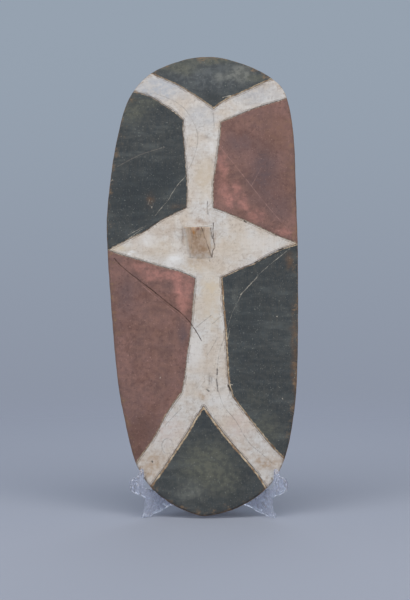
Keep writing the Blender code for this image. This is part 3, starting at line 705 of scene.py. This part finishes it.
def board_form():
    """The oval board: its outline given a thickness, a rounded rim, a grid of cuts and a dome."""
    bm = bmesh.new()
    face = bm.faces.new([bm.verts.new((x, y, 0)) for x, y in RIM_LINE])
    raised = bmesh.ops.extrude_face_region(bm, geom=[face])["geom"]
    lifted = [item for item in raised if isinstance(item, bmesh.types.BMVert)]
    bmesh.ops.translate(bm, verts=lifted, vec=(0, 0, -BOARD_THICKNESS))
    bmesh.ops.recalc_face_normals(bm, faces=bm.faces)
    rims = [edge for edge in bm.edges if abs(edge.verts[0].co.z - edge.verts[1].co.z) < MM]
    bmesh.ops.bevel(bm, geom=rims, offset=RIM_ROUND, segments=4, profile=0.5,
                    affect="EDGES", clamp_overlap=True, material=-1)
    columns = math.ceil(SHIELD_WIDTH / GRID_STEP)
    rows = math.ceil(SHIELD_HEIGHT / GRID_STEP)
    cuts = [((SHIELD_WIDTH * (index / columns - 0.5), 0, 0), (1, 0, 0))
            for index in range(1, columns)]
    cuts += [((0, SHIELD_HEIGHT * index / rows, 0), (0, 1, 0)) for index in range(1, rows)]
    for place, normal in cuts:
        geometry = bm.verts[:] + bm.edges[:] + bm.faces[:]
        bmesh.ops.bisect_plane(bm, geom=geometry, plane_co=place, plane_no=normal, dist=0.000001)
    for vert in bm.verts:
        vert.co.z += dome(vert.co.x, vert.co.y)
    mesh = bpy.data.meshes.new("board")
    bm.to_mesh(mesh)
    bm.free()
    return mesh


def joined(first, second):
    """Two closed meshes as one closed body."""
    pair = []
    for mesh in (first, second):
        held = bpy.data.objects.new(mesh.name, mesh)
        bpy.context.scene.collection.objects.link(held)
        pair.append(held)
    union = pair[0].modifiers.new("union", "BOOLEAN")
    union.operation = "UNION"
    union.solver = "EXACT"
    union.object = pair[1]
    graph = bpy.context.evaluated_depsgraph_get()
    result = bpy.data.meshes.new_from_object(pair[0].evaluated_get(graph))
    for held in pair:
        bpy.data.objects.remove(held)
    return result


def painted_faces(bm):
    """Numbers and middles of the board's faces that look forward."""
    bm.normal_update()
    bm.faces.index_update()
    forward = [(face.index, face.calc_center_median()) for face in bm.faces
               if face.normal.z > LOOKS_FORWARD]
    return [(index, middle) for index, middle in forward if middle.z > -BOARD_THICKNESS / 2]


def refine(bm, chosen, longest):
    """Halves the edges of the chosen faces that are still longer than wanted."""
    bm.faces.ensure_lookup_table()
    edges = {edge for index in chosen for edge in bm.faces[index].edges}
    long_ones = [edge for edge in edges if edge.calc_length() > longest]
    bmesh.ops.subdivide_edges(bm, edges=long_ones, cuts=1, use_grid_fill=True)


def refine_near(bm, lines, reach, longest):
    """Refines the painted face within a reach of some lines."""
    forward = painted_faces(bm)
    places = np.array([(middle.x, middle.y) for _, middle in forward])
    near = line_gap(places, lines) < reach
    refine(bm, [index for (index, _), close in zip(forward, near) if close], longest)


def refine_boss(bm, margin, longest):
    """Refines the part of the painted face that the boss rises from."""
    chosen = [index for index, middle in painted_faces(bm)
              if BOSS_TOP_LEFT - margin < middle.x < BOSS_BOTTOM_RIGHT + margin
              and BOSS_BOTTOM - margin < middle.y < BOSS_TOP + margin]
    refine(bm, chosen, longest)


def plain_shield():
    """The board with its grip, its face refined near what is cut into it or rises from it."""
    bm = bmesh.new()
    bm.from_mesh(joined(board_form(), grip_form()))
    lines = list(BORDER_LINES.values()) + [line for group in LINES.values() for line in group]
    refine(bm, [index for index, _ in painted_faces(bm)], FACE_STEP)
    for reach, margin, longest in FINER_STEPS:
        refine_near(bm, lines, reach, longest)
        refine_boss(bm, margin, longest)
    bm.normal_update()
    return bm


def astray(flat, size, seeds):
    """How far a hand strays across and up at each place, from -1 to 1, in lumps of a size."""
    return np.stack([rough(flat, (size, size, THROUGH), seed) for seed in seeds], 1)


def beside_grip(places):
    """From 0 where the grip stands to 1 clear of it, as no adze reaches there."""
    middle = (BOSS_TOP + BOSS_BOTTOM) / 2
    grip_line = [(0, middle - GRIP_LENGTH / 2), (0, middle + GRIP_LENGTH / 2)]
    return np.clip((line_gap(places, [grip_line]) - GRIP_WIDTH) / GRIP_CLEARING, 0, 1)


def face_relief(flat, border, gaps, boss):
    """How far the painted face strays from its plain form: cuts, waves, grain and knife marks."""
    uneven = 0.85 + 0.35 * rough(flat, (17, 17, THROUGH), 5.0)
    relief = -BORDER_DEPTH * uneven * np.clip(1 - border / BORDER_HALF, 0, 1)
    relief += BURR_RISE * np.exp(-((border - BURR_OUT) / BURR_HALF) ** 2)
    for name, share in SCRIBE_SHARES.items():
        relief -= share * SCRIBE_DEPTH * uneven * np.clip(1 - gaps[name] / SCRIBE_HALF, 0, 1)
    relief -= CRACK_DEPTH * np.clip(1 - gaps["cut_gap"] / CRACK_HALF, 0, 1)
    relief += WAVE_RISE * rough(flat, (26, 60, THROUGH), 41.0)
    relief += GRAIN_RISE * rough(flat, (5, 30, THROUGH), 53.0)
    relief += BOSS_MARK_RISE * boss / BOSS_RISE * rough(flat, (5, 9, THROUGH), 67.0)
    return relief


def keep_on_mesh(mesh, values, tones):
    """Keeps on the mesh what its paint needs to know: values and tones by name."""
    for name, value in values.items():
        layer = mesh.attributes.new(name, "FLOAT", "POINT")
        layer.data.foreach_set("value", value.astype(np.float32))
    for name, tone in tones.items():
        layer = mesh.attributes.new(name, "FLOAT_VECTOR", "POINT")
        layer.data.foreach_set("vector", tone.astype(np.float32).ravel())


def shield_mesh():
    """The shield's fine mesh, still lying on its back, and where its plain form's places lie."""
    bm = plain_shield()
    flat = np.array([vert.co[:] for vert in bm.verts])
    normals = np.array([vert.normal[:] for vert in bm.verts])
    places = flat[:, :2]
    depth_below = dome(flat[:, 0], flat[:, 1]) - flat[:, 2]
    forward = np.clip(normals[:, 2] * 1.5, 0, 1) * (depth_below < BOARD_THICKNESS / 2)
    on_board = np.clip((BOARD_THICKNESS + GRIP_BLEND - depth_below) / GRIP_BLEND, 0, 1)
    clear = beside_grip(places)

    wander = astray(flat, 4, (11.0, 23.0))
    hand = places + wander * LINE_WANDER
    borders = np.array([line_gap(hand, [line]) for line in BORDER_LINES.values()])
    bare = np.array([BARE_STRIPS[name] for name in BORDER_LINES])[borders.argmin(0)]
    gaps = {name: line_gap(hand, group) for name, group in LINES.items()}
    rim = line_gap(places, [RIM_LINE + RIM_LINE[:1]])
    boss = boss_height(places + wander * BOSS_WANDER)

    relief = face_relief(flat, borders.min(0), gaps, boss)
    worn_rim = np.clip(1 - rim / RIM_WORN, 0, 1) * on_board
    dents = RIM_DENT * rough(flat, (9, 9, 6), 71.0) - RIM_LOSS
    scoops = np.abs(rough(flat, (17, 40, THROUGH), 83.0))
    adze = ADZE_DEPTH * (0.3 - scoops) * clear
    moved = flat + normals * (forward * relief + worn_rim * dents)[:, None]
    moved += normals * ((1 - forward) * (1 - worn_rim) * adze)[:, None]
    moved[:, 2] += boss * (forward > 0)
    for vert, place in zip(bm.verts, moved):
        vert.co = place
    bmesh.ops.triangulate(bm, faces=bm.faces)
    bm.normal_update()
    mesh = bpy.data.meshes.new("shield")
    bm.to_mesh(mesh)
    bm.free()

    black = field_depth(hand, BLACK_FIELDS)
    red = field_depth(hand, RED_FIELDS)
    values = {
        "black_depth": black / MM - bare,
        "red_depth": red / MM - bare,
        "field_depth": np.maximum(black, red) / MM,
        "rim_gap": rim / MM,
        "boss_rise": boss / BOSS_RISE,
        "forward": forward,
        "held": 1 - on_board,
        "hollow": (1 - forward) * on_board * clear * np.clip(1 - scoops * 2.2, 0, 1),
        **{name: gap / MM for name, gap in gaps.items()},
    }
    tones = {}
    drifted = places + astray(flat, 13, (31.0, 37.0)) * STAIN_DRIFT
    for name, stains in (("white", WHITE_STAINS), ("black", BLACK_STAINS), ("red", RED_STAINS)):
        tones[name + "_tone"], values[name + "_stain"] = stained(drifted, stains)
    keep_on_mesh(mesh, values, tones)
    return mesh, flat


def set_in_easel(mesh, clean):
    """Leans the mesh back and sets it where the clean form's box meets its solid's box."""
    turn = Matrix.Rotation(math.pi / 2 - LEAN, 3, "X")
    low = (clean @ np.array(turn).T).min(0)
    mesh.transform(turn.to_4x4())
    mesh.transform(Matrix.Translation(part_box("shield")[0] - Vector(low)))


def pattern(tree, place, size, low, high, detail, seed=0.0):
    """Cover from 0 to 1 of patches of a given size, by how much of the noise is kept."""
    scaled = add_node(tree, "ShaderNodeVectorMath", {0: place, 1: [1 / length for length in size],
                                                     2: (seed, seed, 0)}, operation="MULTIPLY_ADD")
    grain = add_node(tree, "ShaderNodeTexNoise", {"Vector": scaled.outputs[0], "Scale": 1.0,
                                                  "Detail": detail, "Roughness": 0.6})
    kept = add_node(tree, "ShaderNodeMapRange", {0: grain.outputs["Fac"], 1: low, 2: high},
                    interpolation_type="SMOOTHSTEP")
    return kept.outputs[0]


def coat(tree, under, over, cover, strength=1.0):
    """A colour laid over what is under it, as thick as its cover and strength say."""
    if isinstance(over, str):
        over = linear(over)
    amount = add_node(tree, "ShaderNodeMath", {0: cover, 1: strength}, operation="MULTIPLY")
    return add_node(tree, "ShaderNodeMix", {0: amount.outputs[0], 6: under, 7: over},
                    data_type="RGBA").outputs[2]


def coated(tree, finish, cover):
    """The wood or a paint with all its coats, each laid where its pattern is."""
    first, coats = finish
    color = linear(first)
    for tone, name, strength in coats:
        color = coat(tree, color, tone, cover[name], strength)
    return color


def with_stains(tree, color, name, know, broken):
    """The soft stains kept on the mesh, painted sheen and shade among them, laid over a paint and
    broken up a little.
    """
    tone = add_node(tree, "ShaderNodeAttribute", attribute_name=name + "_tone").outputs["Vector"]
    laid = add_node(tree, "ShaderNodeMath", {0: know[name + "_stain"], 1: broken},
                    operation="MULTIPLY", use_clamp=True)
    return coat(tree, color, tone, laid.outputs[0])


def edge_cover(tree, gap, ragged, far, near, fray):
    """Cover that runs from 0 at the far gap to 1 at the near one, its edge frayed by noise."""
    moved = add_node(tree, "ShaderNodeMath", {0: ragged, 1: fray, 2: gap},
                     operation="MULTIPLY_ADD")
    return add_node(tree, "ShaderNodeMapRange", {0: moved.outputs[0], 1: far, 2: near},
                    interpolation_type="SMOOTHSTEP").outputs[0]


def with_lines(tree, color, know, cover):
    """The drawn lines laid over the paint, then the two dark lines beside each border."""
    for name, (tone, far, near, strength) in LINE_LOOKS.items():
        line = edge_cover(tree, know[name], cover["ragged"], far, near, LINE_FRAY)
        kept = add_node(tree, "ShaderNodeMapRange", {0: cover["uneven"], 3: 0.30 * strength,
                                                     4: strength})
        shown = add_node(tree, "ShaderNodeMath", {0: line, 1: kept.outputs[0]},
                         operation="MULTIPLY")
        color = coat(tree, color, tone, shown.outputs[0])
    for inset, tone, far, near, strength, breaks in BESIDE_BORDERS:
        into_white = add_node(tree, "ShaderNodeMath", {0: know["field_depth"], 1: inset},
                              operation="ADD")
        off = add_node(tree, "ShaderNodeMath", {0: into_white.outputs[0]}, operation="ABSOLUTE")
        line = edge_cover(tree, off.outputs[0], cover["ragged"], far, near, LINE_FRAY)
        kept = add_node(tree, "ShaderNodeMapRange", {0: cover[breaks], 1: 0.1, 2: 0.6})
        shown = add_node(tree, "ShaderNodeMath", {0: line, 1: kept.outputs[0]},
                         operation="MULTIPLY")
        color = coat(tree, color, tone, shown.outputs[0], strength)
    return color


def with_worn_rim(tree, color, wood, know, cover):
    """Dirt and bare flecks that thicken towards the rim, then the bare wood of the rim itself."""
    for tone, far, near, fray, strength, shows_in in RIM_WEAR:
        reach = edge_cover(tree, know["rim_gap"], cover["uneven"], far, near, fray)
        patchy = add_node(tree, "ShaderNodeMath", {0: reach, 1: cover[shows_in]},
                          operation="MULTIPLY")
        color = coat(tree, color, tone, patchy.outputs[0], strength)
    bare_rim = edge_cover(tree, know["rim_gap"], cover["ragged"], *BARE_RIM)
    return coat(tree, color, wood, bare_rim, BARE_RIM_STRENGTH)


def new_material(name):
    material = bpy.data.materials.new(name)
    material.use_nodes = True
    tree = material.node_tree
    return material, tree, tree.nodes["Principled BSDF"]


def earth_paint_on_wood():
    """Straight-grained wood cut with a knife and painted with earth colours bound with little.

    The coats are matte and powdery, thin enough for the grain to streak them; the borders and
    the rim, where the knife or handling took the paint, show brown wood.
    """
    material, tree, shader = new_material("earth paint on carved wood, matte")
    object_place = add_node(tree, "ShaderNodeTexCoord").outputs["Object"]
    place = add_node(tree, "ShaderNodeMapping", {
        "Vector": object_place, "Rotation": (LEAN - math.pi / 2, 0, 0),
        "Scale": (1 / MM, 1 / MM, 1 / MM)}).outputs[0]
    turned = add_node(tree, "ShaderNodeVectorRotate", {"Vector": place, "Angle": RUBS_TURN},
                      rotation_type="Z_AXIS").outputs[0]
    know = {name: add_node(tree, "ShaderNodeAttribute", attribute_name=name).outputs["Fac"]
            for name in ("black_depth", "red_depth", "field_depth", "rim_gap", "boss_rise",
                         "forward", "held", "hollow", "white_stain", "black_stain", "red_stain",
                         *LINES)}
    cover = {name: pattern(tree, place, *kind) for name, kind in PATTERNS.items()}
    ragged = cover["ragged"]
    broken = add_node(tree, "ShaderNodeMapRange", {0: cover["mottles"], 3: 0.55,
                                                   4: 1.15}).outputs[0]
    cover["hollow"] = know["hollow"]
    cover["held"] = know["held"]
    cover["rubs"] = pattern(tree, turned, *RUBS)
    cover["on_boss"] = edge_cover(tree, know["boss_rise"], broken, *BOSS_EDGE)
    cover["drips"] = add_node(tree, "ShaderNodeMath", {0: cover["runs"], 1: know["boss_rise"]},
                              operation="MULTIPLY", use_clamp=True).outputs[0]

    wood = coated(tree, WOOD, cover)
    white = with_stains(tree, coated(tree, WHITE, cover), "white", know, broken)
    black = with_stains(tree, coated(tree, BLACK, cover), "black", know, broken)
    black = coat(tree, black, BLACK_SPECKS, cover["specks"], SPECK_STRENGTH)
    red = with_stains(tree, coated(tree, RED, cover), "red", know, broken)
    red = coat(tree, red, RED_SPECKS, cover["specks"], SPECK_STRENGTH)

    in_field = edge_cover(tree, know["field_depth"], ragged, *STRIP_EDGE)
    in_black = edge_cover(tree, know["black_depth"], ragged, *PAINT_EDGE)
    in_red = edge_cover(tree, know["red_depth"], ragged, *PAINT_EDGE)
    on_face = edge_cover(tree, know["forward"], ragged, *FACE_EDGE)
    color = coat(tree, white, coated(tree, BARE_STRIP, cover), in_field)
    color = coat(tree, color, black, in_black)
    color = coat(tree, color, red, in_red)
    color = with_lines(tree, color, know, cover)
    color = with_worn_rim(tree, color, wood, know, cover)
    color = coat(tree, wood, color, on_face)
    tree.links.new(color, shader.inputs["Base Color"])

    shader.inputs["Roughness"].default_value = 0.88
    shader.inputs["Specular IOR Level"].default_value = 0.30
    relief = add_node(tree, "ShaderNodeMix", {0: 0.45, 2: cover["streaks"], 3: ragged}).outputs[0]
    bump = add_node(tree, "ShaderNodeBump", {"Height": relief, "Distance": 0.18 * MM,
                                             "Strength": 0.6})
    tree.links.new(bump.outputs[0], shader.inputs["Normal"])
    return material


def clear_polystyrene():
    """Clear injection-moulded polystyrene: glassy, a little warped, with bright edges.

    A part of what lies behind it shows straight through, as the thin plates hardly bend light,
    and a little milkiness in it lifts it off the darker things behind.
    """
    material, tree, shader = new_material("clear polystyrene, moulded")
    shader.inputs["Base Color"].default_value = linear("#eef1ff")
    shader.inputs["Alpha"].default_value = 0.75
    shader.inputs["Transmission Weight"].default_value = 0.80
    shader.inputs["IOR"].default_value = 1.59
    shader.inputs["Roughness"].default_value = 0.07
    place = add_node(tree, "ShaderNodeTexCoord").outputs["Object"]
    warp = pattern(tree, place, (9 * MM, 9 * MM, 9 * MM), 0.0, 1.0, 1)
    bump = add_node(tree, "ShaderNodeBump", {"Height": warp, "Distance": 2.4 * MM,
                                             "Strength": 1.0})
    tree.links.new(bump.outputs[0], shader.inputs["Normal"])
    return material


def make_shield():
    mesh, clean = shield_mesh()
    set_in_easel(mesh, clean)
    mesh.shade_smooth()
    shield = bpy.data.objects.new("carved_shield", mesh)
    bpy.context.scene.collection.objects.link(shield)
    mesh.materials.append(earth_paint_on_wood())
    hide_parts("shield")
    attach(shield, "root")


def make_bracket(node, name, plastic):
    """One plate of the easel: its solid's mesh, welded and shaded as a smooth moulding."""
    bm = bmesh.new()
    bm.from_mesh(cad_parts[node].data)
    bmesh.ops.remove_doubles(bm, verts=bm.verts, dist=WELD)
    mesh = bpy.data.meshes.new(name)
    bm.to_mesh(mesh)
    bm.free()
    mesh.shade_smooth()
    mesh.set_sharp_from_angle(angle=math.radians(40))
    mesh.materials.clear()
    mesh.materials.append(plastic)
    bracket = bpy.data.objects.new(name, mesh)
    bpy.context.scene.collection.objects.link(bracket)
    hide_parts(node)
    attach(bracket, "root")


make_camera()
make_studio()
make_floor()
bpy.context.scene.view_settings.view_transform = "Standard"
make_shield()
plastic = clear_polystyrene()
make_bracket("easel_bracket_left", "easel_plate_left", plastic)
make_bracket("easel_bracket_right", "easel_plate_right", plastic)
